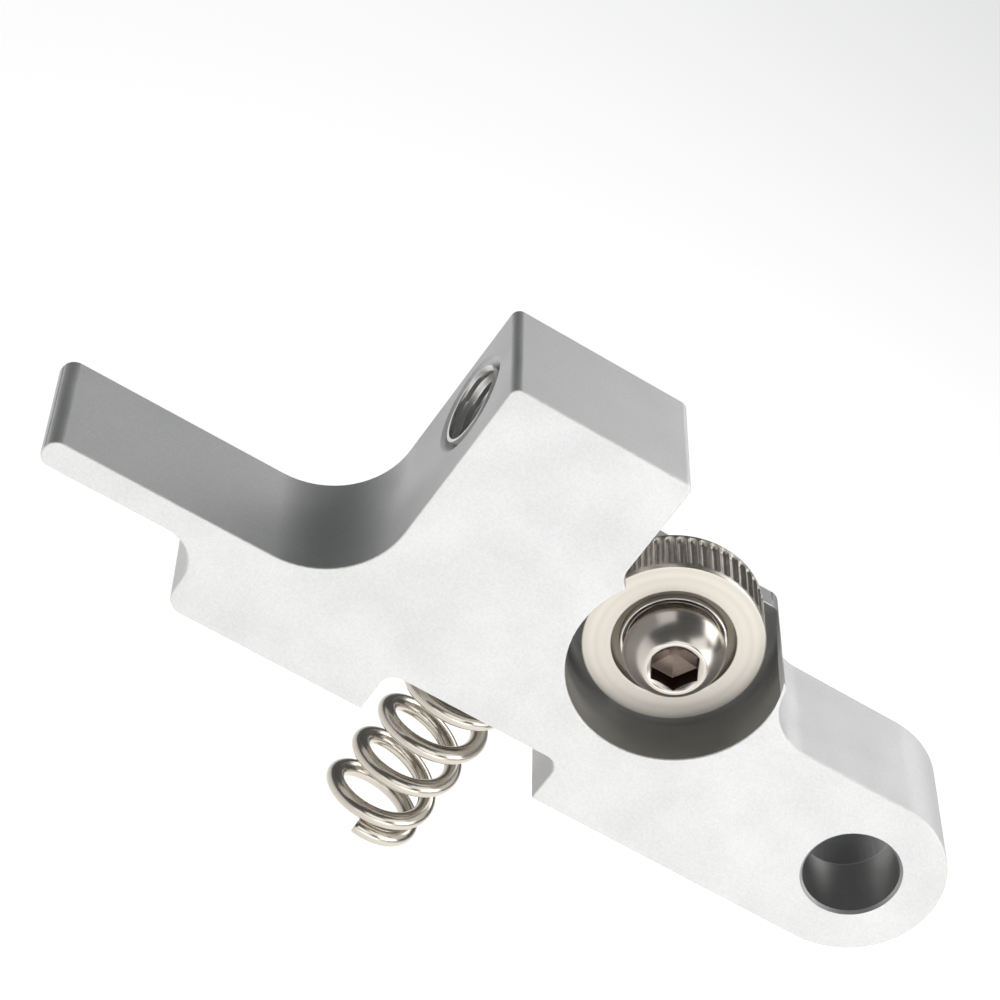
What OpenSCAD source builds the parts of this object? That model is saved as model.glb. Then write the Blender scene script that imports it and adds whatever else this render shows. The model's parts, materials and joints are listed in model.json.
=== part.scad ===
// Hinged idler lever of a filament extruder, with its toothed idler gear, ball bearing,
// axle screw and pressure spring. Millimetres. The origin is on the pivot axis at mid
// thickness: X runs from the thumb tab to the pivot, Y runs from front to rear, Z is up.

/* [Lever] */
// Front to rear thickness of the lever
thickness = 9.8; // [8:0.1:14]
// Distance along X from the gear axis to the pivot axis
arm_reach = 19.1; // [15:0.1:26]
// Height of the gear axis above the pivot axis
gear_rise = 7.2; // [6:0.1:9]
// Outer radius of the pivot end, half the height of the arm
arm_radius = 6.4; // [5.5:0.1:8]
// Radius of the hollow between gear housing and arm
arm_fillet = 4.0; // [2.5:0.1:5]

/* [Pivot] */
// Bore diameter for the pivot bolt
pivot_dia = 6.5; // [5:0.1:8]
// Depth of the bore measured from the front face
pivot_depth = 5.2; // [4:0.1:8]
// Diameter of the wider rear counterbore
pivot_counter_dia = 8.5; // [7:0.1:10]
// Edge chamfer of the bore
pivot_chamfer = 0.2; // [0.1:0.05:0.5]

/* [Coupling block] */
// Width of the block along X
block_width = 13.25; // [11:0.05:17]
// Height of the block top above the filament line
block_rise = 5.3; // [4.5:0.1:8]
// Radius of the block's top corners
block_corner = 0.6; // [0.3:0.1:1.5]
// Diameter at mid thread depth of the tube coupling hole
coupling_dia = 5.5; // [4.5:0.1:8]
// Depth of the coupling thread
coupling_depth = 8.0; // [6:0.1:10]
// Width of the coupling hole's entry chamfer
coupling_chamfer = 0.75; // [0.3:0.05:1.2]
// Diameter of the passage that guides the filament
passage_dia = 2.1; // [1.9:0.05:3.2]
// Diameter of the filament
filament_dia = 1.75; // [1.75:1.1:2.85]

/* [Thumb tab] */
// Reach of the tab from the block's left face
tab_reach = 21.9; // [17:0.1:28]
// Thickness of the tab
tab_thickness = 2.0; // [1.5:0.1:3]
// Height of the tab's top face above the pivot axis
tab_top = 0.7; // [0:0.1:1.5]
// Radius of the hollow between tab and block
tab_fillet = 6.0; // [4:0.1:8]
// Reach of the deep body from the block's left face
body_reach = 9.9; // [8:0.1:12]
// Radius of the hollow below the tab
under_fillet = 2.6; // [1.5:0.1:3]
// Radius of the body's lower corner
body_corner = 1.3; // [0.5:0.1:2]

/* [Gear housing] */
// Gap between the gear teeth and the pocket wall
pocket_gap = 1.05; // [0.6:0.05:1.5]
// Thickness of the plate behind the gear
floor_plate = 1.8; // [1.4:0.1:3]
// How far the housing's outer face stands inside the pocket's radius
lip_cutback = 0.3; // [0.2:0.05:0.4]
// Height of the housing shelf above the gear axis
shelf_rise = 3.3; // [2:0.1:4]
// Radius of the corner between block and shelf
shelf_fillet = 1.5; // [0.5:0.1:2]
// Radius of the shelf's outer corner
shelf_corner = 1.1; // [0.5:0.1:1.3]

/* [Idler gear] */
// Outside diameter over the teeth
gear_dia = 12.0; // [10:0.1:15]
// Width of the gear along its axis
gear_width = 3.9; // [3.3:0.1:5]
// Number of tooth grooves
gear_grooves = 50; // [40:1:60]
// Radius of each rounded groove
groove_radius = 0.3; // [0.2:0.01:0.36]
// Plain rim left in front of the grooves
front_rim = 0.45; // [0.3:0.05:0.6]
// Plain rim left behind the grooves
rear_rim = 0.35; // [0.25:0.05:0.6]
// Chamfer of the gear's rear edge
gear_chamfer = 0.2; // [0.1:0.05:0.25]
// Wide chamfer round the bearing on the gear's front
seat_chamfer = 0.6; // [0.2:0.05:0.7]
// How far the filament line stands behind the middle of the grooves
filament_shift = 0.3; // [0:0.1:0.4]
// Gap between the gear and the housing floor
gear_rear_gap = 1.0; // [0.5:0.1:1.2]

/* [Bearing] */
// Outside diameter
bearing_od = 7.0; // [6.4:0.1:8.4]
// Bore diameter
bearing_bore = 4.0; // [3.4:0.1:4.8]
// Width
bearing_width = 2.5; // [2.2:0.1:3]
// Number of balls
ball_count = 7; // [7:1:7]

/* [Axle screw] */
// Widest diameter of the domed head
head_dia = 6.7; // [5.6:0.1:8]
// Height of the head
head_height = 2.1; // [1.7:0.1:2.6]
// Size of the hex socket across its flats
hex_size = 3.0; // [2:0.1:3.4]
// Depth of the hex socket
hex_depth = 1.5; // [1:0.1:1.9]
// Length of the spacer under the head
front_spacer_length = 0.8; // [0.5:0.1:1.2]

/* [Spring] */
// Mean coil diameter
spring_dia = 6.22; // [5.2:0.02:7.5]
// Wire diameter
wire_dia = 1.2; // [0.9:0.05:1.3]
// Free length
spring_length = 17.6; // [15:0.1:21]
// Rise of each open turn
spring_pitch = 3.28; // [2.8:0.02:4.2]
// How far the spring's axis stands left of the block's right side
spring_inset = 2.1; // [1.5:0.05:3]
// Depth of the notch in the lever's underside
notch_depth = 3.4; // [2.5:0.1:4]
// Width of the notch beyond the coils on the left
notch_left = 2.6; // [2:0.05:3.4]
// Width of the notch beyond the coils on the right
notch_right = 3.1; // [2:0.05:3.6]
// Depth of the round spring seat above the notch
seat_depth = 4.1; // [2.5:0.05:4.2]

/* [Fits] */
// Radial gap of pressed or clamped pieces
seat_gap = 0.01; // [0.005:0.005:0.03]
// Radial gap between balls and race grooves
ball_gap = 0.02; // [0.01:0.01:0.05]
// Radial gap between the axle and what it carries
axle_gap = 0.02; // [0.01:0.01:0.05]
// Radial gap around the spring in its seat
spring_gap = 0.19; // [0.1:0.01:0.4]

/* [Show] */
// Piece to show, or all

/* [Hidden] */
$fn = 96;
eps = 0.01;
slack = 0.02;
end_gap = 0.005;
front_y = -thickness / 2;
rear_y = thickness / 2;

// Gear, housing and block positions
gear_x = -arm_reach;
gear_z = gear_rise;
gear_r = gear_dia / 2;
pocket_r = gear_r + pocket_gap;
floor_y = rear_y - floor_plate;
gear_rear_y = floor_y - gear_rear_gap;
gear_front_y = gear_rear_y - gear_width;
groove_start_y = gear_front_y + front_rim;
groove_end_y = gear_rear_y - rear_rim;
filament_y = (groove_start_y + groove_end_y) / 2 + filament_shift;
filament_z = gear_z + gear_r + filament_dia / 2;
block_overhang = 0.2;
block_right = gear_x - pocket_r + block_overhang;
block_left = block_right - block_width;
block_top = filament_z + block_rise;
shelf_z = gear_z + shelf_rise;
housing_right = gear_x + pocket_r - lip_cutback;
bottom_z = -arm_radius;

// Shoulder of the housing: a round corner that runs smoothly into the hollow above the arm
hollow_x = housing_right + arm_fillet;
hollow_z = arm_radius + arm_fillet;
corner_z = shelf_z - shelf_corner;
hollow_drop = hollow_z - corner_z;
centre_gap = arm_fillet + shelf_corner;
corner_x = hollow_x - sqrt(centre_gap * centre_gap - hollow_drop * hollow_drop);
blend_z = corner_z + shelf_corner * hollow_drop / centre_gap;

// Thumb tab
tab_end = block_left - tab_reach;
body_left = block_left - body_reach;
tab_bottom = tab_top - tab_thickness;
tab_nose = tab_thickness / 2 - 0.05;

// Spring, notch and seat
coil_r = spring_dia / 2;
wire_r = wire_dia / 2;
spring_x = block_right - spring_inset;
notch_z = bottom_z + notch_depth;
notch_start = spring_x - coil_r - wire_r - notch_left;
notch_end = spring_x + coil_r + wire_r + notch_right;
notch_corner = 1;
seat_r = coil_r + wire_r + spring_gap;
seat_z = notch_z + seat_depth;
closed_turns = 0.62;
blend_turns = 0.12;
spring_rise = spring_length - wire_dia;
coil_turns = 2 * closed_turns + spring_rise / spring_pitch;
spring_low = seat_z - axle_gap - spring_length + wire_r;
tip_angle = 252;
ring_steps = 132;
wire_sides = 10;

// Bearing, from the radial section between bore and outside
race_r = bearing_od / 2;
bore_r = bearing_bore / 2;
section = race_r - bore_r;
pitch_r = (race_r + bore_r) / 2;
ball_r = 0.3 * section;
inner_shoulder = pitch_r - 0.225 * section;
outer_shoulder = pitch_r + 0.225 * section;
step_r = pitch_r + 0.3 * section;
bearing_front_y = gear_front_y + 0.1;
bearing_rear_y = bearing_front_y + bearing_width;
ball_y = (bearing_front_y + bearing_rear_y) / 2;
step_depth = 0.15 * bearing_width;
shield_thickness = 0.05 * bearing_width;
snap_thickness = 0.07 * bearing_width;
snap_r = 0.055 * section;
shield_back = 0.4 * seat_gap;
cage_half = 0.27 * bearing_width;
cage_band = 0.14 * section;
race_chamfer = 0.15;
bore_chamfer = 0.12;
lip_r = race_r - 0.25 * section;

// Axle screw and spacers
shank_r = bore_r - axle_gap;
spacer_r = bore_r + 0.25 * section;
head_under_y = bearing_front_y - front_spacer_length;
head_top_y = head_under_y - head_height;
head_r = head_dia / 2;
head_band = 0.28;
tip_chamfer = 0.4;
dome_top_r = 0.6 * head_r;
dome_rise = head_height - head_band;
dome_c = (head_r * head_r + dome_rise * dome_rise - dome_top_r * dome_top_r) / (2 * dome_rise);
dome_below = dome_c - dome_rise;
dome_r = sqrt(head_r * head_r + dome_below * dome_below);

// Cylinder along Y from y0 to y1 about the gear axis
module on_axle(r, y0, y1) {
    translate([gear_x, y1, gear_z])
        rotate([90, 0, 0])
            cylinder(r = r, h = y1 - y0);
}

// Cone along Y from radius r0 at y0 to radius r1 at y1 about the gear axis
module cone_on_axle(r0, r1, y0, y1) {
    translate([gear_x, y0, gear_z])
        rotate([-90, 0, 0])
            cylinder(r1 = r0, r2 = r1, h = y1 - y0);
}

// Ring along Y about the gear axis
module axle_ring(r_out, r_in, y0, y1) {
    difference() {
        on_axle(r_out, y0, y1);
        on_axle(r_in, y0 - 1, y1 + 1);
    }
}

// Solid of revolution about the gear axis: profile x is the radius, profile y runs rearward
module turned() {
    translate([gear_x, 0, gear_z])
        rotate([-90, 0, 0])
            rotate_extrude()
                children();
}

// Corner infill with a hollow of radius r; sx and sz point from the corner to the open side
module hollow_corner(x, z, r, sx, sz) {
    translate([x, z])
        difference() {
            translate([sx > 0 ? -eps : -r, sz > 0 ? -eps : -r])
                square([r + eps, r + eps]);
            translate([sx * r, sz * r])
                circle(r = r);
        }
}

// Rectangle from (x0, z0) to (x1, z1)
module plate(x0, z0, x1, z1) {
    translate([x0, z0])
        square([x1 - x0, z1 - z0]);
}

// Rectangle whose two top corners are rounded
module top_rounded(x0, z0, x1, z1, rl, rr) {
    plate(x0, z0, x1, z1 - max(rl, rr));
    plate(x0 + rl, z0, x1 - rr, z1);
    translate([x0 + rl, z1 - rl])
        circle(r = rl);
    translate([x1 - rr, z1 - rr])
        circle(r = rr);
}

module tab_profile() {
    plate(tab_end + tab_nose, tab_bottom, block_left + 1, tab_top);
    plate(tab_end, tab_bottom + tab_nose, tab_end + 2, tab_top - tab_nose);
    for (z = [tab_bottom + tab_nose, tab_top - tab_nose])
        translate([tab_end + tab_nose, z])
            circle(r = tab_nose);
    hollow_corner(block_left, tab_top, tab_fillet, -1, 1);
    hollow_corner(body_left, tab_bottom, under_fillet, -1, -1);
}

module body_profile() {
    plate(body_left, bottom_z + body_corner, gear_x, tab_top);
    plate(body_left + body_corner, bottom_z, 0, 0);
    translate([body_left + body_corner, bottom_z + body_corner])
        circle(r = body_corner);
    top_rounded(block_left, bottom_z + 1, block_right, block_top, block_corner, block_corner);
    hollow_corner(block_right, shelf_z, shelf_fillet, 1, 1);
}

module housing_profile() {
    plate(block_right - 1, bottom_z + 1, corner_x, shelf_z);
    translate([corner_x, corner_z])
        circle(r = shelf_corner);
    difference() {
        plate(corner_x - eps, 0, hollow_x, blend_z);
        translate([hollow_x, hollow_z])
            circle(r = arm_fillet);
    }
    plate(gear_x, bottom_z, 0, arm_radius);
    circle(r = arm_radius);
}

module notch_profile() {
    difference() {
        plate(notch_start, bottom_z - 1, notch_end, notch_z);
        hollow_corner(notch_start, notch_z, notch_corner, 1, -1);
        hollow_corner(notch_end, notch_z, notch_corner, -1, -1);
    }
}

module lever_profile() {
    difference() {
        union() {
            tab_profile();
            body_profile();
            housing_profile();
        }
        notch_profile();
    }
}

module coupling_hole() {
    translate([block_left, filament_y, filament_z])
        rotate([0, 90, 0]) {
            translate([0, 0, -1])
                cylinder(d = coupling_dia, h = coupling_depth + 1);
            translate([0, 0, -eps])
                cylinder(d1 = coupling_dia + 2 * coupling_chamfer, d2 = coupling_dia, h = coupling_chamfer);
            cylinder(d = passage_dia, h = block_width + 1);
        }
}

module pivot_hole() {
    rotate([90, 0, 0]) {
        translate([0, 0, -rear_y - 1])
            cylinder(d = pivot_dia, h = thickness + 2);
        translate([0, 0, -rear_y - 1])
            cylinder(d = pivot_counter_dia, h = thickness - pivot_depth + 1);
        translate([0, 0, -front_y - pivot_chamfer])
            cylinder(d1 = pivot_dia, d2 = pivot_dia + 2 * pivot_chamfer + 2 * eps, h = pivot_chamfer + eps);
    }
}

module lever_arm() {
    color([0.80, 0.80, 0.81])
        difference() {
            translate([0, rear_y, 0])
                rotate([90, 0, 0])
                    linear_extrude(height = thickness)
                        lever_profile();
            on_axle(pocket_r, front_y - 1, floor_y);
            on_axle(bore_r, floor_y - 1, rear_y + 1);
            translate([spring_x, 0, notch_z - 1])
                cylinder(r = seat_r, h = seat_depth + 1);
            coupling_hole();
            pivot_hole();
        }
}

// One groove with round ends, along the gear's outside
module groove_cut() {
    straight = groove_end_y - groove_start_y - 2 * groove_radius;
    translate([gear_r + slack, groove_start_y + groove_radius, 0])
        rotate([-90, 0, 0]) {
            cylinder(r = groove_radius, h = straight, $fn = 24);
            for (end = [0, straight])
                translate([0, 0, end])
                    sphere(r = groove_radius, $fn = 24);
        }
}

module idler_gear() {
    seat_end = bearing_rear_y + slack;
    color([0.72, 0.71, 0.69])
        difference() {
            union() {
                on_axle(gear_r, gear_front_y, gear_rear_y - gear_chamfer);
                cone_on_axle(gear_r, gear_r - gear_chamfer, gear_rear_y - gear_chamfer, gear_rear_y);
            }
            on_axle(race_r + seat_gap, gear_front_y - 1, seat_end);
            on_axle(lip_r, gear_front_y, gear_rear_y + 1);
            cone_on_axle(race_r + seat_chamfer, race_r, gear_front_y - eps, gear_front_y + seat_chamfer);
            for (i = [0 : gear_grooves - 1])
                translate([gear_x, 0, gear_z])
                    rotate([0, i * 360 / gear_grooves, 0])
                        groove_cut();
        }
}

module ball_groove() {
    translate([pitch_r, ball_y])
        circle(r = ball_r + ball_gap, $fn = 48);
}

module bearing_outer_race() {
    color([0.78, 0.78, 0.78])
        turned()
            difference() {
                polygon([
                    [outer_shoulder, bearing_front_y + step_depth],
                    [step_r, bearing_front_y + step_depth],
                    [step_r, bearing_front_y],
                    [race_r - race_chamfer, bearing_front_y],
                    [race_r, bearing_front_y + race_chamfer],
                    [race_r, bearing_rear_y - race_chamfer],
                    [race_r - race_chamfer, bearing_rear_y],
                    [step_r, bearing_rear_y],
                    [step_r, bearing_rear_y - step_depth],
                    [outer_shoulder, bearing_rear_y - step_depth]
                ]);
                ball_groove();
            }
}

module bearing_inner_race() {
    color([0.80, 0.80, 0.80])
        turned()
            difference() {
                polygon([
                    [bore_r + bore_chamfer, bearing_front_y],
                    [inner_shoulder, bearing_front_y],
                    [inner_shoulder, bearing_rear_y],
                    [bore_r + bore_chamfer, bearing_rear_y],
                    [bore_r, bearing_rear_y - bore_chamfer],
                    [bore_r, bearing_front_y + bore_chamfer]
                ]);
                ball_groove();
            }
}

module at_ball(i) {
    translate([gear_x, ball_y, gear_z])
        rotate([0, i * 360 / ball_count, 0])
            translate([pitch_r, 0, 0])
                children();
}

module ball(i) {
    color([0.85, 0.85, 0.86])
        at_ball(i)
            sphere(r = ball_r, $fn = 48);
}

module bearing_cage() {
    color([0.62, 0.60, 0.55])
        difference() {
            axle_ring(pitch_r + cage_band, pitch_r - cage_band, ball_y - cage_half, ball_y + cage_half);
            for (i = [1 : ball_count])
                at_ball(i)
                    sphere(r = ball_r + 0.05 * section / 2, $fn = 48);
        }
}

// Shield and snap ring share one step in the outer race
module shield(y0) {
    color([0.66, 0.66, 0.66])
        axle_ring(step_r - seat_gap, inner_shoulder + 0.05 * section, y0, y0 + shield_thickness);
}

module snap_ring(y0) {
    color([0.55, 0.55, 0.55])
        axle_ring(step_r - seat_gap, step_r - 3 * snap_r, y0, y0 + snap_thickness);
}

module shield_front() {
    shield(bearing_front_y + step_depth - shield_thickness - shield_back);
}

module shield_rear() {
    shield(bearing_rear_y - step_depth + shield_back);
}

module snap_ring_front() {
    snap_ring(bearing_front_y + step_depth - shield_thickness - snap_thickness - 2 * shield_back);
}

module snap_ring_rear() {
    snap_ring(bearing_rear_y - step_depth + shield_thickness + 2 * shield_back);
}

module axle_screw() {
    color([0.70, 0.70, 0.71])
        difference() {
            union() {
                intersection() {
                    on_axle(head_r, head_top_y, head_under_y);
                    translate([gear_x, head_under_y - head_band + dome_below, gear_z])
                        sphere(r = dome_r);
                }
                on_axle(shank_r, head_under_y - eps, rear_y - tip_chamfer);
                cone_on_axle(shank_r, shank_r - tip_chamfer, rear_y - tip_chamfer - eps, rear_y - eps);
            }
            translate([gear_x, head_top_y + hex_depth, gear_z])
                rotate([90, 0, 0])
                    cylinder(d = hex_size / cos(30), h = hex_depth + 1, $fn = 6);
        }
}

module spacer_front() {
    color([0.75, 0.75, 0.75])
        axle_ring(spacer_r, bore_r, head_under_y + end_gap, bearing_front_y - end_gap);
}

module spacer_rear() {
    color([0.75, 0.75, 0.75])
        axle_ring(spacer_r, bore_r, bearing_rear_y + end_gap, floor_y - end_gap);
}

// Turns risen after t turns of wire, with closed ends and a soft start and finish
function soft(t) =
    t < -blend_turns ? 0 :
    t > blend_turns ? t :
    pow(t + blend_turns, 2) / (4 * blend_turns);
function risen(t) =
    t < coil_turns / 2
        ? soft(t - closed_turns)
        : spring_rise / spring_pitch - soft(coil_turns - t - closed_turns);
function steepness(t) = (risen(t + 0.02) - risen(t - 0.02)) / 0.04;

module spring() {
    rings = [for (i = [0 : ring_steps]) i * coil_turns / ring_steps];
    points = [
        for (t = rings)
            let (a = tip_angle + 360 * t, lean = atan(spring_pitch * steepness(t) / (2 * PI * coil_r)))
                for (k = [0 : wire_sides - 1])
                    let (
                        b = 360 * k / wire_sides,
                        radial = coil_r + wire_r * cos(b),
                        along = -wire_r * sin(b) * sin(lean)
                    )
                        [
                            radial * cos(a) - along * sin(a),
                            radial * sin(a) + along * cos(a),
                            spring_pitch * risen(t) + wire_r * sin(b) * cos(lean)
                        ]
    ];
    sides = [
        for (i = [0 : ring_steps - 1])
            for (k = [0 : wire_sides - 1])
                let (
                    n = (k + 1) % wire_sides,
                    p = i * wire_sides,
                    q = p + wire_sides
                )
                    each [[p + k, p + n, q + k], [p + n, q + n, q + k]]
    ];
    last = ring_steps * wire_sides;
    start_cap = [for (k = [1 : wire_sides - 2]) [0, k + 1, k]];
    end_cap = [for (k = [1 : wire_sides - 2]) [last, last + k, last + k + 1]];
    color([0.77, 0.76, 0.74])
        translate([spring_x, 0, spring_low])
            polyhedron(points = points, faces = concat(sides, start_cap, end_cap));
}

lever_arm();
idler_gear();
bearing_outer_race();
bearing_inner_race();
bearing_cage();
ball(1);  // ball_1
ball(2);  // ball_2
ball(3);  // ball_3
ball(4);  // ball_4
ball(5);  // ball_5
ball(6);  // ball_6
ball(7);  // ball_7
shield_front();
shield_rear();
snap_ring_front();
snap_ring_rear();
axle_screw();
spacer_front();
spacer_rear();
spring();
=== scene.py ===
# %% [markdown]
# # A hinged idler lever for a filament extruder
#
# The object is a small machined lever. A thumb tab opens it, a spring closes it, and a toothed
# idler gear on a miniature ball bearing presses the filament against the driven gear.
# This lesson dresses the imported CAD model: it breaks the sharp edges, gives the gear rounded
# tooth grooves, winds a smooth spring, cuts a thread, and gives each metal its own finish.

# %% Load the CAD frame
import json
import math

import bmesh
import bpy
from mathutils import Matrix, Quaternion, Vector


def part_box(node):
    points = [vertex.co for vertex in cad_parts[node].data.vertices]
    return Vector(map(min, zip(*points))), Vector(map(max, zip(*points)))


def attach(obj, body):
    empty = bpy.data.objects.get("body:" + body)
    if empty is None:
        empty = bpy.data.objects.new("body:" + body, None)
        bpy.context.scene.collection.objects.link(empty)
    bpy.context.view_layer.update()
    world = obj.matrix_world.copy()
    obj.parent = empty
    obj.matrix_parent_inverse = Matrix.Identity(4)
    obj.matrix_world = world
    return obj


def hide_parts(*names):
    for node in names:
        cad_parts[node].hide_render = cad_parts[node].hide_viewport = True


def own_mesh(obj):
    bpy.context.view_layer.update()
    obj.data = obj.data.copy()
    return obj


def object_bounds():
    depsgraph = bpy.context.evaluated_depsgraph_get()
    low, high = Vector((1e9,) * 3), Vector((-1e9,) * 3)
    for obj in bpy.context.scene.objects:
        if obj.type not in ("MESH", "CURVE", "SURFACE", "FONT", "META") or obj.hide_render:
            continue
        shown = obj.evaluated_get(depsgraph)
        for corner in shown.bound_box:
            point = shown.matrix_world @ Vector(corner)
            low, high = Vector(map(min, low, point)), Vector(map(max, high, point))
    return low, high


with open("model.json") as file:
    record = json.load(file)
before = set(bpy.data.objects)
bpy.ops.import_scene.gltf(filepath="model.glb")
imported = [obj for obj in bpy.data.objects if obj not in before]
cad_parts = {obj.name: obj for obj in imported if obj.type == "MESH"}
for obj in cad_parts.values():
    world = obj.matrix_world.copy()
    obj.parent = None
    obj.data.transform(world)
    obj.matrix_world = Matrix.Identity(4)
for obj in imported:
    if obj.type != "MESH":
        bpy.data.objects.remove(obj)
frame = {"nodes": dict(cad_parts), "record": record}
nodes = frame["nodes"]
mounts = {m["name"]: m for m in frame["record"]["mounts"]}
cad_low, cad_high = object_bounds()
print("CAD box in mm:", [round(1000 * (b - a), 2) for a, b in zip(cad_low, cad_high)])

# %% [markdown]
# The camera stands a hand's width away and looks down at the lever's front. It is rolled, so
# that the lever runs from the upper left to the lower right. A long lens keeps the perspective
# slight. It comes first, because every later choice is judged through it.


# %% The camera
def mm(value):
    """Millimetres to Blender's metres."""
    return value / 1000


camera_place = Vector((mm(-96.34), mm(-185.85), mm(111.16)))
camera_aim = Vector((mm(-33.89), 0, mm(9.33)))
camera_roll = math.radians(37.64)

camera = bpy.data.objects.new("camera", bpy.data.cameras.new("camera"))
camera.data.lens = 124.94
camera.data.sensor_width = 36
camera.data.clip_start = mm(10)
camera.data.clip_end = 20
camera.location = camera_place
camera.rotation_mode = "QUATERNION"
look = (camera_aim - camera_place).to_track_quat("-Z", "Y")
camera.rotation_quaternion = look @ Quaternion((0, 0, 1), camera_roll)
bpy.context.scene.collection.objects.link(camera)
bpy.context.scene.camera = camera
print("camera", round(1000 * (camera_aim - camera_place).length), "mm from its aim")

# %% [markdown]
# Polished metal shows its surroundings, so the light is half of its finish. A bright table and
# large soft panels light the part, and the darker gaps between them give the hollows and the
# domed screw their dark bands.

# %% Soft light panels
view = bpy.context.scene.view_settings
view.view_transform = "Standard"
view.look = "None"

panel_width = mm(300)
panel_height = mm(220)
panel_distance = mm(420)


def panel(name, azimuth, height, power):
    """A soft light facing the part, at that azimuth and height in degrees above the horizon."""
    light = bpy.data.lights.new(name, "AREA")
    light.shape = "RECTANGLE"
    light.size = panel_width
    light.size_y = panel_height
    light.energy = power
    around, up = math.radians(azimuth), math.radians(height)
    away = Vector((math.cos(around) * math.cos(up), math.sin(around) * math.cos(up), math.sin(up)))
    lamp = bpy.data.objects.new(name, light)
    lamp.location = camera_aim + away * panel_distance
    lamp.rotation_mode = "QUATERNION"
    lamp.rotation_quaternion = away.to_track_quat("Z", "Y")
    lamp.visible_camera = False
    bpy.context.scene.collection.objects.link(lamp)
    return lamp


panels = [
    panel("high_right", 20, 45, 0.5),
    panel("high_back_right", 45, 40, 0.38),
    panel("high_front_right", 315, 40, 0.25),
    panel("front_right_side", 330, 15, 0.5),
    panel("front", -90, 20, 0.3),
    panel("low_front_right", -70, -14, 0.38),
    panel("low_front_left", -110, -14, 0.2),
]
print("panels:", [lamp.name for lamp in panels])

# %% The pale surroundings
world = bpy.data.worlds.new("pale_room")
world.use_nodes = True
bpy.context.scene.world = world
world.node_tree.nodes["Background"].inputs["Color"].default_value = (0.9, 0.92, 0.95, 1)
world.node_tree.nodes["Background"].inputs["Strength"].default_value = 0.12
print("room strength", world.node_tree.nodes["Background"].inputs["Strength"].default_value)

# %% [markdown]
# A material here is a Principled shader with a few nodes that vary its colour, roughness and
# bump. Each pattern is sized in real millimetres, so one helper turns a size into a scale.


# %% Helpers for materials
def linear(hex_text):
    """An sRGB colour such as '#C0FFEE' as the linear RGBA that the shaders want."""
    parts = [int(hex_text[i : i + 2], 16) / 255 for i in (1, 3, 5)]
    return (*[p / 12.92 if p <= 0.04045 else ((p + 0.055) / 1.055) ** 2.4 for p in parts], 1)


def per_mm(size):
    """The texture scale that makes a pattern repeat every size millimetres."""
    return 1000 / size


def add(tree, kind, inputs=None, **settings):
    """Adds a shader node with its settings. Inputs take a value or another node's output."""
    node = tree.nodes.new("ShaderNode" + kind)
    for name, value in settings.items():
        setattr(node, name, value)
    for name, value in (inputs or {}).items():
        if isinstance(value, bpy.types.NodeSocket):
            tree.links.new(value, node.inputs[name])
        else:
            node.inputs[name].default_value = value
    return node


def start_metal(name, hex_text, roughness):
    """A new metal: its node tree and its shader. A metal keeps the default IOR."""
    material = bpy.data.materials.new(name)
    material.use_nodes = True
    shader = material.node_tree.nodes["Principled BSDF"]
    shader.inputs["Metallic"].default_value = 1.0
    shader.inputs["Base Color"].default_value = linear(hex_text)
    shader.inputs["Roughness"].default_value = roughness
    return material, material.node_tree, shader


def axis_distance(tree):
    """The distance of each point from the object's own Y axis, for true circles about it."""
    place = add(tree, "TexCoord")
    flat = add(
        tree, "VectorMath", {0: place.outputs["Object"], 1: (1.0, 0.0, 1.0)}, operation="MULTIPLY"
    )
    return add(tree, "VectorMath", {0: flat.outputs["Vector"]}, operation="LENGTH").outputs["Value"]


print("grey check:", [round(c, 3) for c in linear("#808080")])

# %% [markdown]
# The lever is aluminium, blasted with fine glass beads and clear anodised. Blasting leaves
# thousands of tiny dents, so the surface is nearly white, reflects only soft shapes, and shows
# a fine grain up close. Real dents are about 0.05 mm; they are drawn at 0.16 mm so they show.

# %% Bead-blasted aluminium
blasted, tree, shader = start_metal("bead_blasted_aluminium", "#DCDCDC", 0.63)
place = add(tree, "TexCoord")
grain = add(
    tree, "TexNoise",
    {"Vector": place.outputs["Object"], "Scale": per_mm(0.16), "Detail": 3.0, "Roughness": 0.6},
)
clouds = add(
    tree, "TexNoise",
    {"Vector": place.outputs["Object"], "Scale": per_mm(4.0), "Detail": 2.0},
)
tint = add(
    tree, "Mix", {"Factor": grain.outputs["Fac"], "A": linear("#D2D2D2"), "B": linear("#E8E8E7")},
    data_type="RGBA",
)
tree.links.new(tint.outputs["Result"], shader.inputs["Base Color"])
rough = add(
    tree, "MapRange",
    {"Value": clouds.outputs["Fac"], "From Min": 0.3, "From Max": 0.7, "To Min": 0.58, "To Max": 0.68},
)
tree.links.new(rough.outputs["Result"], shader.inputs["Roughness"])
dents = add(
    tree, "Bump", {"Height": grain.outputs["Fac"], "Strength": 0.35, "Distance": mm(0.03)}
)
tree.links.new(dents.outputs["Normal"], shader.inputs["Normal"])
print("made", blasted.name)

# %% [markdown]
# Tumbling breaks every outside edge before the blasting. The break is about an eighth of a millimetre
# wide. Its colour is painted a little brighter than the faces beside it, a painted highlight for the
# light that the rounded edge catches.

# %% Tumbled edges, with a painted highlight
# The colour, a little lighter than the blasted faces, is a painted highlight; the nicks vary its tone at
# random.
tumbled_edge_sheen, tree, shader = start_metal("tumbled_edge_painted_sheen", "#E6E6E4", 0.62)
place = add(tree, "TexCoord")
nicks = add(
    tree, "TexNoise",
    {"Vector": place.outputs["Object"], "Scale": per_mm(0.3), "Detail": 4.0, "Roughness": 0.7},
)
tint = add(
    tree, "Mix", {"Factor": nicks.outputs["Fac"], "A": linear("#CFCECB"), "B": linear("#F4F4F2")},
    data_type="RGBA",
)
tree.links.new(tint.outputs["Result"], shader.inputs["Base Color"])
bumps = add(
    tree, "Bump", {"Height": nicks.outputs["Fac"], "Strength": 0.6, "Distance": mm(0.05)}
)
tree.links.new(bumps.outputs["Normal"], shader.inputs["Normal"])
print("made", tumbled_edge_sheen.name)
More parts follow.
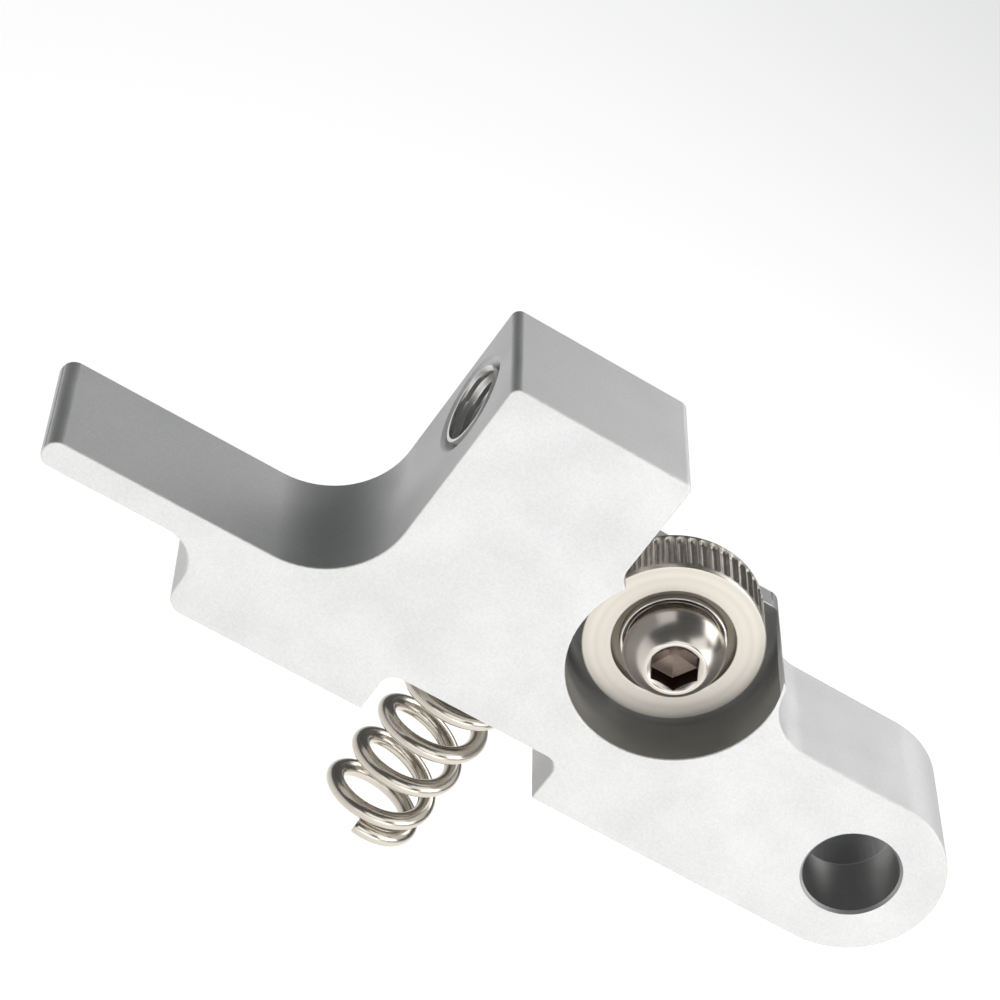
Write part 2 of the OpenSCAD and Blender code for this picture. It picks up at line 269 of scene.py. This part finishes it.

# %% [markdown]
# The pocket and the bores are cut by a mill, and blasting hardly reaches them. Their walls stay
# smoother, with fine tool lines that run round the cutter's axis. Their colour is painted darker:
# painted shade for the shadow inside these hollows.

# %% Milled aluminium, painted in shade
# Its grey #A2A2A1, darker than the blasted faces, is painted shade for the hollows.
milled_shaded, tree, shader = start_metal("milled_aluminium_painted_shade", "#A2A2A1", 0.5)
place = add(tree, "TexCoord")
stretched = add(
    tree, "Mapping", {"Vector": place.outputs["Object"], "Scale": (1.0, 6.0, 1.0)}
)
lines = add(
    tree, "TexNoise",
    {"Vector": stretched.outputs["Vector"], "Scale": per_mm(1.2), "Detail": 5.0, "Roughness": 0.7},
)
rough = add(
    tree, "MapRange",
    {"Value": lines.outputs["Fac"], "From Min": 0.3, "From Max": 0.7, "To Min": 0.42, "To Max": 0.56},
)
tree.links.new(rough.outputs["Result"], shader.inputs["Roughness"])
marks = add(
    tree, "Bump", {"Height": lines.outputs["Fac"], "Strength": 0.25, "Distance": mm(0.02)}
)
tree.links.new(marks.outputs["Normal"], shader.inputs["Normal"])
print("made", milled_shaded.name)

# %% [markdown]
# A tap cuts the coupling thread last, so its flanks are bare aluminium, brighter than the walls.

# %% Tapped aluminium
tapped, tree, shader = start_metal("tapped_aluminium", "#E2E1DE", 0.38)
place = add(tree, "TexCoord")
chatter = add(
    tree, "TexNoise", {"Vector": place.outputs["Object"], "Scale": per_mm(0.35), "Detail": 4.0}
)
rough = add(
    tree, "MapRange", {"Value": chatter.outputs["Fac"], "To Min": 0.28, "To Max": 0.5}
)
tree.links.new(rough.outputs["Result"], shader.inputs["Roughness"])
print("made", tapped.name)

# %% [markdown]
# The gear's face is turned on a lathe. The tool leaves fine rings about the gear's axis, which
# spread each highlight across the rings into a soft, warm satin. The rings are drawn from the
# distance to the axis, so they are true circles.

# %% Turned steel
turned, tree, shader = start_metal("turned_steel", "#C9C4BB", 0.34)
radius = axis_distance(tree)
rings = add(
    tree, "TexNoise", {"W": radius, "Scale": per_mm(0.12), "Detail": 3.0}, noise_dimensions="1D"
)
bands = add(
    tree, "TexNoise", {"W": radius, "Scale": per_mm(0.7), "Detail": 1.0}, noise_dimensions="1D"
)
tint = add(
    tree, "Mix", {"Factor": bands.outputs["Fac"], "A": linear("#BEB8AE"), "B": linear("#D3CEC5")},
    data_type="RGBA",
)
tree.links.new(tint.outputs["Result"], shader.inputs["Base Color"])
rough = add(
    tree, "MapRange",
    {"Value": rings.outputs["Fac"], "From Min": 0.3, "From Max": 0.7, "To Min": 0.3, "To Max": 0.42},
)
tree.links.new(rough.outputs["Result"], shader.inputs["Roughness"])
cuts = add(
    tree, "Bump", {"Height": rings.outputs["Fac"], "Strength": 0.2, "Distance": mm(0.01)}
)
tree.links.new(cuts.outputs["Normal"], shader.inputs["Normal"])
print("made", turned.name)

# %% [markdown]
# A hob cuts the tooth grooves, and nickel plating then leaves them bright but slightly uneven.

# %% Plated teeth
plated_teeth, tree, shader = start_metal("plated_teeth", "#CBC5BB", 0.34)
place = add(tree, "TexCoord")
stains = add(
    tree, "TexNoise",
    {"Vector": place.outputs["Object"], "Scale": per_mm(0.5), "Detail": 4.0, "Roughness": 0.65},
)
tint = add(
    tree, "Mix", {"Factor": stains.outputs["Fac"], "A": linear("#A59E93"), "B": linear("#E2DDD4")},
    data_type="RGBA",
)
tree.links.new(tint.outputs["Result"], shader.inputs["Base Color"])
rough = add(
    tree, "MapRange", {"Value": stains.outputs["Fac"], "To Min": 0.26, "To Max": 0.42}
)
tree.links.new(rough.outputs["Result"], shader.inputs["Roughness"])
print("made", plated_teeth.name)

# %% [markdown]
# Bearing rings are ground, so they mirror the room with faint rings. The shields are thin
# pressed sheet, softer in shine. Balls are lapped to a full mirror, and the cage is stamped.


# %% Bearing steels
def bearing_steel(name, hex_text, low, high, line_size):
    """Steel with fine rings about the gear's axis; low and high bound its roughness."""
    material, tree, shader = start_metal(name, hex_text, low)
    rings = add(
        tree, "TexNoise",
        {"W": axis_distance(tree), "Scale": per_mm(line_size), "Detail": 3.0},
        noise_dimensions="1D",
    )
    rough = add(tree, "MapRange", {"Value": rings.outputs["Fac"], "To Min": low, "To Max": high})
    tree.links.new(rough.outputs["Result"], shader.inputs["Roughness"])
    print("made", name)
    return material


ground = bearing_steel("ground_bearing_steel", "#CFCECB", 0.06, 0.2, 0.1)
pressed = bearing_steel("pressed_shield_steel", "#BFBBB4", 0.18, 0.34, 0.2)
spring_clip = bearing_steel("clip_steel", "#A9A49C", 0.12, 0.26, 0.15)
stamped = bearing_steel("stamped_cage_steel", "#A79F8E", 0.25, 0.4, 0.25)
lapped = bearing_steel("lapped_ball_steel", "#DADADA", 0.02, 0.06, 0.3)
spacer_steel = bearing_steel("turned_spacer_steel", "#C4C1BB", 0.2, 0.32, 0.12)

# %% [markdown]
# The screw and the spring are nickel plated. Nickel is a warm mirror. The screw's head was
# turned before plating, and the spring's wire was drawn through a die, so faint lines run
# round the head and along the wire.

# %% Nickel plate
nickel_screw = bearing_steel("nickel_plated_screw", "#C9C3BB", 0.2, 0.3, 0.25)

# The socket's dark brown colour is painted shade: the deep hexagon is coloured dark for the shadow
# inside it.
broached_socket_shade = bearing_steel("broached_socket_painted_shade", "#6B5F57", 0.22, 0.36, 0.2)

nickel_wire, tree, shader = start_metal("nickel_plated_wire", "#CBC4B9", 0.2)
where = add(tree, "UVMap", uv_map="wire")
drawn = add(
    tree, "Mapping", {"Vector": where.outputs["UV"], "Scale": (0.25, 9.0, 1.0)}
)
lines = add(
    tree, "TexNoise",
    {"Vector": drawn.outputs["Vector"], "Scale": 1.0, "Detail": 4.0, "Roughness": 0.7},
)
rough = add(
    tree, "MapRange",
    {"Value": lines.outputs["Fac"], "From Min": 0.3, "From Max": 0.7, "To Min": 0.14, "To Max": 0.28},
)
tree.links.new(rough.outputs["Result"], shader.inputs["Roughness"])
scores = add(
    tree, "Bump", {"Height": lines.outputs["Fac"], "Strength": 0.12, "Distance": mm(0.02)}
)
tree.links.new(scores.outputs["Normal"], shader.inputs["Normal"])
print("made", nickel_wire.name)

# %% [markdown]
# Every piece needs the same last steps: an object, smooth shading, its materials, the body it rides on
# and the CAD node it stands for.


# %% Helpers for pieces
def finish_piece(name, mesh_data, origin, body, slot, stands_for, *materials):
    """Makes the object from a bmesh whose points are in metres from its origin."""
    mesh = bpy.data.meshes.new(name)
    bmesh.ops.recalc_face_normals(mesh_data, faces=mesh_data.faces)
    mesh_data.to_mesh(mesh)
    mesh_data.free()
    mesh.shade_smooth()
    mesh.set_sharp_from_angle(angle=math.radians(40))
    for material in materials:
        mesh.materials.append(material)
    piece = bpy.data.objects.new(name, mesh)
    piece.location = origin
    bpy.context.scene.collection.objects.link(piece)
    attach(piece, body)
    if stands_for:
        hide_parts(stands_for)
    print(name, "has", len(mesh.vertices), "points")
    return piece


def axle_size(node):
    """Front face, rear face and outer radius in mm of a piece that is round about the axle."""
    low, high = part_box(node)
    return 1000 * low.y, 1000 * high.y, 500 * (high.x - low.x)


# %% [markdown]
# The lever starts from the CAD's own faces, so its size can't drift. The triangles of each flat
# face are merged, then a bevel breaks the outside edges. The lip beside the gear pocket is only
# 0.2 mm thick, so the break fades to nothing towards it.

# %% The lever's faces
lever = bmesh.new()
lever.from_mesh(nodes["lever_arm"].data)
same_point = mm(0.0005)
bmesh.ops.remove_doubles(lever, verts=lever.verts, dist=same_point)
gear_low, gear_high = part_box("idler_gear")
axle = Vector(((gear_low.x + gear_high.x) / 2, 0, (gear_low.z + gear_high.z) / 2))
coupling = Vector(mounts["coupling_thread"]["pos_m"])
spring_foot = Vector(mounts["spring_foot"]["pos_m"])

# A face with a hole in it can't be one polygon, so each face is first cut through its holes.
for point, normal in (
    ((0, 0, 0), (0, 0, 1)),
    (coupling, (0, 0, 1)),
    (axle, (1, 0, 0)),
    (spring_foot, (1, 0, 0)),
):
    everything = lever.verts[:] + lever.edges[:] + lever.faces[:]
    cut = bmesh.ops.bisect_plane(lever, geom=everything, plane_co=point, plane_no=normal)
    for part in cut["geom_cut"]:
        if isinstance(part, bmesh.types.BMEdge):
            part.seam = True

# Points closer than the bevel can handle become one, and then the flat faces become whole.
shortest_edge = mm(0.03)
flat_angle = math.radians(0.3)
bmesh.ops.remove_doubles(lever, verts=lever.verts, dist=shortest_edge)
bmesh.ops.dissolve_limit(
    lever,
    angle_limit=flat_angle,
    verts=lever.verts,
    edges=lever.edges,
    delimit={"SEAM"},
)
print("axle at", [round(1000 * c, 2) for c in axle])

# %% [markdown]
# The mill's walls get their own finish, whose darker colour is painted shade, so they are picked out by
# where they are.


# %% Walls that the mill cut, which get painted shade
pocket_reach = gear_high.x - axle.x + mm(1.4)
pivot_reach = mm(4.6)
pivot_step = mm(0.2)
thread_reach = mm(2.8)
inside_faces = mm(4.8)


def is_shaded_milled_wall(face):
    """True on the walls of the pivot bore, the coupling hole and the gear pocket, which take the darker
    milled colour as painted shade.
    """
    middle = face.calc_center_median()
    from_pivot = math.hypot(middle.x, middle.z)
    from_filament = math.hypot(middle.y - coupling.y, middle.z - coupling.z)
    from_axle = math.hypot(middle.x - axle.x, middle.z - axle.z)
    across = abs(face.normal.y) < 0.9
    in_block = abs(face.normal.x) < 0.95 and middle.z > axle.z
    in_pivot = from_pivot < pivot_reach and (across or middle.y > pivot_step)
    in_thread = from_filament < thread_reach and in_block and across
    in_pocket = from_axle < pocket_reach and middle.y > -inside_faces
    return in_thread or (middle.y < inside_faces and (in_pivot or in_pocket))


# Material 2 is the milled finish, whose darker grey is painted shade in the hollows.
for face in lever.faces:
    face.material_index = 2 if is_shaded_milled_wall(face) else 0
print("lever faces:", len(lever.faces), "milled:", sum(f.material_index == 2 for f in lever.faces))

# %% The lever's broken edges
edge_break = 0.12
sharp_corner = math.radians(50)
lip_tip = axle + Vector((mm(6.3), 0, mm(3.2)))
plain_lip = mm(1.3)
full_break = mm(4.5)
weight = lever.edges.layers.float.new("bevel_weight_edge")
for edge in lever.edges:
    if not edge.is_manifold or not edge.is_convex:
        continue
    if edge.calc_face_angle() < sharp_corner:
        continue
    middle = (edge.verts[0].co + edge.verts[1].co) / 2
    from_lip = math.hypot(middle.x - lip_tip.x, middle.z - lip_tip.z)
    edge[weight] = min(1, max(0, (from_lip - plain_lip) / (full_break - plain_lip)))
print("edges to break:", sum(edge[weight] > 0 for edge in lever.edges))

lever_piece = finish_piece(
    "lever_body", lever, (0, 0, 0), "lever", "lever", "lever_arm", blasted, tumbled_edge_sheen, milled_shaded
)
bevel = lever_piece.modifiers.new("edge_break", "BEVEL")
bevel.limit_method = "WEIGHT"
bevel.width = mm(edge_break)
bevel.segments = 3
# The bevel's faces take material 1, the tumbled edge colour with its painted highlight.
bevel.material = 1
bevel.use_clamp_overlap = False
bevel.harden_normals = False
smooth = lever_piece.modifiers.new("flat_faces_stay_flat", "WEIGHTED_NORMAL")
smooth.keep_sharp = True
smooth.weight = 80

# %% [markdown]
# The coupling thread is a closed sleeve inside the hole. Its inner wall rises and falls once
# per pitch, and shifts by one pitch as it goes round, which makes one long screw thread. The
# ridge is higher than 1 before it is cut off, so that its crest is flat.

# %% The coupling thread
pitch = 0.75
thread_root = mounts["coupling_thread"]["dims"]["r_mm"] - 0.005
thread_depth = 0.24
thread_length = mounts["coupling_thread"]["dims"]["length_mm"] - 0.1
ridge_height = 1.15
ridge_slope = 2.6
around = 96
rows_per_turn = 8
rows = int(thread_length / pitch * rows_per_turn)


def sleeve_point(radius, along, turn):
    """A point of the sleeve, in metres from the middle of the thread."""
    angle = 2 * math.pi * turn
    return Vector((mm(along), mm(radius * math.cos(angle)), mm(radius * math.sin(angle))))


thread = bmesh.new()
loops = []
for row in range(rows + 1):
    along = (row / rows - 0.5) * thread_length
    loop = []
    for step in range(around):
        turn = step / around
        phase = (along / pitch - turn) % 1
        ridge = min(1, max(0, ridge_height - ridge_slope * abs(phase - 0.5)))
        loop.append(thread.verts.new(sleeve_point(thread_root - thread_depth * ridge, along, turn)))
    loops.append(loop)
for end in (0.5, -0.5):
    ring = [sleeve_point(thread_root, end * thread_length, step / around) for step in range(around)]
    loops.append([thread.verts.new(point) for point in ring])
for one, other in zip(loops, loops[1:] + loops[:1]):
    for step in range(around):
        after = (step + 1) % around
        thread.faces.new((one[step], one[after], other[after], other[step]))
finish_piece("coupling_thread", thread, coupling, "lever", "lever", None, tapped)

# %% [markdown]
# The gear is one closed ring. Round the outside, its radius dips wherever a groove passes, so
# each tooth has a round root and round ends. The rest of its outline is a turned profile: a
# chamfered seat for the bearing at the front and a lip behind it.


# %% Rounded outlines
def rounded(points, radius, steps=4):
    """A closed outline whose corners are eased by that radius. A point just before and after
    each corner keeps the flats between them flat."""
    eased = []
    for before, corner, after in zip(points[-1:] + points[:-1], points, points[1:] + points[:1]):
        corner = Vector(corner)
        to_before, to_after = Vector(before) - corner, Vector(after) - corner
        start = min(radius, 0.4 * to_before.length) * to_before.normalized()
        end = min(radius, 0.4 * to_after.length) * to_after.normalized()
        eased.append(corner + 1.15 * start)
        for step in range(steps + 1):
            t = step / steps
            eased.append(corner + (1 - t) ** 2 * start + t * t * end)
        eased.append(corner + 1.15 * end)
    return eased


def spin(mesh_data, outline, around, sweep=1.0, shape=None):
    """Turns an outline of (radius, depth) in mm about the axle. Shape may change a radius."""
    closed = sweep >= 1
    rings = []
    for step in range(around if closed else around + 1):
        turn = sweep * step / around
        angle = 2 * math.pi * turn
        ring = []
        for radius, depth in outline:
            r = shape(radius, depth, turn) if shape else radius
            point = (mm(r * math.cos(angle)), mm(depth), mm(r * math.sin(angle)))
            ring.append(mesh_data.verts.new(point))
        rings.append(ring)
    pairs = list(zip(rings, rings[1:] + rings[:1]))
    for one, other in pairs if closed else pairs[:-1]:
        for a, b, c, d in zip(one, one[1:] + one[:1], other[1:] + other[:1], other):
            mesh_data.faces.new((a, b, c, d))
    if not closed:
        mesh_data.faces.new(rings[0])
        mesh_data.faces.new(rings[-1])


# %% The idler gear
gear_front, gear_rear, gear_radius = axle_size("idler_gear")
race_front, race_rear, race_radius = axle_size("bearing_outer_race")
groove_count = 50
groove_radius = 0.3
front_rim = 0.45
rear_rim = 0.35
gear_chamfer = 0.2
seat_chamfer = 0.6
axle_radius = 2.0
points_per_groove = 18
tooth_band = 0.42
section = race_radius - axle_radius
lip_radius = race_radius - 0.25 * section
first_groove = gear_front + front_rim + groove_radius
last_groove = gear_rear - rear_rim - groove_radius


def tooth_dip(radius, depth, turn):
    """The gear's radius, lowered where a groove passes."""
    if radius < gear_radius - 0.001:
        return radius
    phase = (turn * groove_count) % 1 - 0.5
    side = gear_radius * math.sin(2 * math.pi * phase / groove_count)
    beyond = max(first_groove - depth, 0, depth - last_groove)
    off = math.hypot(side, beyond)
    if off >= groove_radius:
        return radius
    return min(radius, gear_radius + 0.02 - math.sqrt(groove_radius**2 - off**2))


groove_steps = [0, 0.1, 0.25, 0.4, 0.55, 0.7, 0.82, 0.92, 0.98, 1.0]
tooth_rows = [first_groove - groove_radius * s for s in reversed(groove_steps)]
tooth_rows += [last_groove + groove_radius * s for s in groove_steps]
gear_outline = [(gear_radius, depth) for depth in tooth_rows]
gear_outline += [
    (gear_radius, gear_rear - gear_chamfer),
    (gear_radius - 0.03, gear_rear - gear_chamfer + 0.03),
    (gear_radius - gear_chamfer, gear_rear - 0.01),
    (gear_radius - gear_chamfer - 0.03, gear_rear),
    (lip_radius + 0.05, gear_rear),
    (lip_radius, gear_rear - 0.05),
    (lip_radius, race_rear + 0.02),
    (race_radius + 0.005, race_rear + 0.02),
    (race_radius + 0.005, gear_front + seat_chamfer),
    (race_radius + 0.03, gear_front + seat_chamfer - 0.03),
    (race_radius + 0.06, gear_front + seat_chamfer - 0.06),
    (race_radius + seat_chamfer - 0.05, gear_front + 0.05),
    (race_radius + seat_chamfer - 0.02, gear_front + 0.02),
    (race_radius + seat_chamfer + 0.02, gear_front + 0.004),
    (race_radius + seat_chamfer + 0.05, gear_front),
    (race_radius + seat_chamfer + 0.1, gear_front),
    (gear_radius - 0.15, gear_front),
    (gear_radius - 0.09, gear_front),
    (gear_radius - 0.03, gear_front + 0.015),
    (gear_radius, gear_front + 0.08),
]
gear = bmesh.new()
spin(gear, gear_outline, groove_count * points_per_groove, shape=tooth_dip)
for face in gear.faces:
    on_teeth = all(
        math.hypot(v.co.x, v.co.z) > mm(gear_radius - tooth_band)
        and v.co.y > mm(gear_front + 0.05)
        for v in face.verts
    )
    face.material_index = 1 if on_teeth else 0
finish_piece(
    "toothed_idler", gear, axle, "idler", "gear", "idler_gear", turned, plated_teeth
)

# %% [markdown]
# The bearing's rings, shields, clips and spacers are all turned outlines with eased corners.
# The clip that holds each shield is a ring with a gap, so it is swept only part of the way.

# %% The bearing
bore_front, bore_rear, inner_radius = axle_size("bearing_inner_race")
pitch_radius = race_radius - section / 2
shoulder = 0.225 * section
step_in = 0.3 * section
step_depth = 0.15 * (race_rear - race_front)
ball_depth = (race_front + race_rear) / 2
ball_radius = 0.3 * section + 0.02


def groove_arc(side):
    """The ball groove's arc, from front to rear, on the outer (+1) or inner (-1) ring."""
    spread = math.acos(shoulder / ball_radius)
    angles = [spread * (1 - step / 6) for step in range(13)]
    return [
        (pitch_radius + side * ball_radius * math.cos(a), ball_depth - ball_radius * math.sin(a))
        for a in angles
    ]


outer = bmesh.new()
spin(
    outer,
    rounded(
        [
            (pitch_radius + shoulder, race_front + step_depth),
            (pitch_radius + step_in, race_front + step_depth),
            (pitch_radius + step_in, race_front),
            (race_radius, race_front),
            (race_radius, race_rear),
            (pitch_radius + step_in, race_rear),
            (pitch_radius + step_in, race_rear - step_depth),
            (pitch_radius + shoulder, race_rear - step_depth),
        ],
        0.1,
    )
    + [Vector(p) for p in reversed(groove_arc(1))],
    160,
)
finish_piece("bearing_outer_ring", outer, axle, "idler", "race", "bearing_outer_race", ground)

inner = bmesh.new()
spin(
    inner,
    rounded(
        [
            (pitch_radius - shoulder, bore_rear),
            (axle_radius, bore_rear),
            (axle_radius, bore_front),
            (pitch_radius - shoulder, bore_front),
        ],
        0.1,
    )
    + [Vector(p) for p in groove_arc(-1)],
    160,
)
finish_piece("bearing_inner_ring", inner, axle, "lever", "race", "bearing_inner_race", ground)


def turned_ring(name, node, hole, ease, body, slot, material, sweep=1.0):
    """A plain ring the size of its CAD node, with eased corners."""
    front, rear, radius = axle_size(node)
    ring = bmesh.new()
    corners = [(hole, front), (radius, front), (radius, rear), (hole, rear)]
    spin(ring, rounded(corners, ease, 3), 144, sweep)
    return finish_piece(name, ring, axle, body, slot, node, material)


shield_hole = inner_radius + 0.05 * section
clip_hole = pitch_radius + 0.135 * section
clip_sweep = 0.94
turned_ring("front_shield", "shield_front", shield_hole, 0.05, "idler", "shield", pressed)
turned_ring("rear_shield", "shield_rear", shield_hole, 0.05, "idler", "shield", pressed)
turned_ring("front_clip", "snap_ring_front", clip_hole, 0.08, "idler", "shield", spring_clip, clip_sweep)
turned_ring("rear_clip", "snap_ring_rear", clip_hole, 0.08, "idler", "shield", spring_clip, clip_sweep)
turned_ring("head_spacer", "spacer_front", axle_radius, 0.06, "lever", "spacer", spacer_steel)
turned_ring("floor_spacer", "spacer_rear", axle_radius, 0.06, "lever", "spacer", spacer_steel)

# %% [markdown]
# The axle is a domed screw with a hexagon socket. The dome is part of a sphere. The socket's
# mouth is a cone, which meets the six flats in the small scallops that catch the light.

# %% The axle screw
screw_front, screw_rear, head_radius = axle_size("axle_screw")
head_height = 2.1
head_under = screw_front + head_height
head_band = 0.28
socket_mouth = 1.78
hex_half = 1.5
socket_depth = 1.5
shank_radius = 1.98
dome_edge = 0.6 * head_radius
dome_rise = head_under - head_band - screw_front
dome_drop = (head_radius**2 + dome_rise**2 - dome_edge**2) / (2 * dome_rise) - dome_rise
dome_radius = math.hypot(head_radius, dome_drop)
dome_middle = head_under - head_band + dome_drop


def hex_reach(turn):
    """Distance from the axis to the socket's wall in that direction."""
    off = (turn * 6) % 1 - 0.5
    return hex_half / math.cos(math.radians(60) * off)


dome = []
dome_steps = 14
top_angle = math.asin(dome_edge / dome_radius)
low_angle = math.asin(head_radius / dome_radius)
for step in range(dome_steps + 1):
    angle = top_angle + (low_angle - top_angle) * step / dome_steps
    dome.append((dome_radius * math.sin(angle), dome_middle - dome_radius * math.cos(angle)))
head_side = [
    (head_radius, head_under - 0.06),
    (head_radius - 0.02, head_under - 0.02),
    (head_radius - 0.06, head_under),
    (shank_radius + 0.05, head_under),
    (shank_radius, head_under + 0.05),
    (shank_radius, screw_rear - 0.4),
    (shank_radius - 0.03, screw_rear - 0.36),
    (shank_radius - 0.38, screw_rear - 0.02),
    (shank_radius - 0.42, screw_rear),
]
screw = bmesh.new()
around = 192
rings = []
rim = [(socket_mouth + 0.02, screw_front + 0.015), (socket_mouth + 0.06, screw_front)]
for step in range(around):
    turn = step / around
    angle = 2 * math.pi * turn
    reach = hex_reach(turn)
    cone_depth = screw_front + 0.02 + 0.6 * (socket_mouth - reach)
    socket = [
        (0.35, screw_front + socket_depth + 0.3),
        (reach - 0.12, screw_front + socket_depth),
        (reach, screw_front + socket_depth - 0.06),
        (reach, cone_depth + 0.02),
        (reach + 0.01, cone_depth),
    ]
    outline = socket + rim + dome + head_side
    rings.append(
        [
            screw.verts.new((mm(r * math.cos(angle)), mm(d), mm(r * math.sin(angle))))
            for r, d in outline
        ]
    )
for one, other in zip(rings, rings[1:] + rings[:1]):
    for a, b, c, d in zip(one, one[1:], other[1:], other):
        screw.faces.new((a, b, c, d))
# Faces inside the socket's mouth take the dark socket colour, which is painted shade.
for face in screw.faces:
    inside = max(math.hypot(v.co.x, v.co.z) for v in face.verts) < mm(socket_mouth)
    face.material_index = 1 if inside else 0
screw.faces.new([ring[0] for ring in rings]).material_index = 1
screw.faces.new([ring[-1] for ring in rings])
finish_piece(
    "axle_screw_domed", screw, axle, "lever", "screw", "axle_screw", nickel_screw, broached_socket_shade
)

# %% [markdown]
# The spring is one wire swept along a helix. Its last half turn at each end lies flat, and the wire is
# simply cut off. Its body is its foot, which comes up as the lever is pressed.

# %% The spring
spring_low, spring_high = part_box("spring")
wire_radius = 0.6
coil_radius = 3.11
turn_rise = 3.28
open_turns = 5
closed_turns = 0.62
blend_turns = 0.12
tip_angle = math.radians(252)
rise = open_turns * turn_rise
coil_turns = 2 * closed_turns + open_turns
wire_length = 20 * coil_turns
wire_girth = 3.4
spring_height = rise + 2 * wire_radius
spring_base = (spring_low.z + spring_high.z - mm(spring_height)) / 2
spring_origin = Vector((spring_foot.x, spring_foot.y, spring_base))


def soft_start(t):
    """Zero before 0, t after 0, with a smooth bend between."""
    if abs(t) > blend_turns:
        return max(t, 0)
    return (t + blend_turns) ** 2 / (4 * blend_turns)


def wire_height(t):
    """Height in mm of the wire's centre after t turns."""
    if t < coil_turns / 2:
        return wire_radius + turn_rise * soft_start(t - closed_turns)
    return wire_radius + rise - turn_rise * soft_start(coil_turns - t - closed_turns)


def wire_centre(t):
    """The wire's centre in mm after t turns."""
    angle = tip_angle + 2 * math.pi * t
    return Vector((coil_radius * math.cos(angle), coil_radius * math.sin(angle), wire_height(t)))


wire_steps = 300
wire_sides = 24
spring = bmesh.new()
uv_layer = spring.loops.layers.uv.new("wire")
stations = [(0, 0.86), (0.0006, 0.97), (0.0015, 1)]
stations += [(step / wire_steps, 1) for step in range(1, wire_steps)]
stations += [(0.9985, 1), (0.9994, 0.97), (1, 0.86)]
rings = []
for share, size in stations:
    t = share * coil_turns
    ahead = (wire_centre(t + 0.01) - wire_centre(t - 0.01)).normalized()
    angle = tip_angle + 2 * math.pi * t
    outward = Vector((math.cos(angle), math.sin(angle), 0))
    outward = (outward - ahead * outward.dot(ahead)).normalized()
    upward = ahead.cross(outward)
    ring = []
    for side in range(wire_sides):
        a = 2 * math.pi * side / wire_sides
        off = (outward * math.cos(a) + upward * math.sin(a)) * wire_radius * size
        ring.append(spring.verts.new((wire_centre(t) + off) / 1000))
    rings.append(ring)
for row, (one, other) in enumerate(zip(rings, rings[1:])):
    for side in range(wire_sides):
        after = (side + 1) % wire_sides
        face = spring.faces.new((one[side], one[after], other[after], other[side]))
        corners = ((row, side), (row, side + 1), (row + 1, side + 1), (row + 1, side))
        for loop, (u, v) in zip(face.loops, corners):
            loop[uv_layer].uv = (u / wire_steps * wire_length, v / wire_sides * wire_girth)
spring.faces.new(rings[0])
spring.faces.new(rings[-1])
spring_piece = finish_piece(
    "pressure_spring", spring, spring_origin, "spring", "spring", "spring", nickel_wire
)
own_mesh(spring_piece)

# %% [markdown]
# The balls and their cage sit inside the bearing, where only the joints' tests see them. Their
# CAD shapes are already right, so they only get their steels.

# %% Balls and cage
for name, node in nodes.items():
    if name.startswith("ball_") or name == "bearing_cage":
        for material_slot in node.material_slots:
            material_slot.material = stamped if name == "bearing_cage" else lapped
print("steel on", sum(n.startswith("ball_") for n in nodes), "balls and the cage")

# %% [markdown]
# The part hangs a little above a plain pale table, as if held by its pivot.

# %% The table
drop = mm(90)
table_reach = mm(2000)
table = bmesh.new()
bmesh.ops.create_grid(table, x_segments=2, y_segments=2, size=table_reach)
table_mesh = bpy.data.meshes.new("table")
table.to_mesh(table_mesh)
table.free()
table_piece = bpy.data.objects.new("table", table_mesh)
table_piece.location = (0, 0, cad_low.z - drop)
bpy.context.scene.collection.objects.link(table_piece)
table_paint = bpy.data.materials.new("pale_table")
table_paint.use_nodes = True
paint = table_paint.node_tree.nodes["Principled BSDF"]
paint.inputs["Base Color"].default_value = linear("#F6F6F5")
paint.inputs["Roughness"].default_value = 0.9
paint.inputs["Emission Color"].default_value = linear("#FFFFFF")
paint.inputs["Emission Strength"].default_value = 0.58
table_mesh.materials.append(table_paint)
print("table", round(1000 * drop), "mm below the spring")
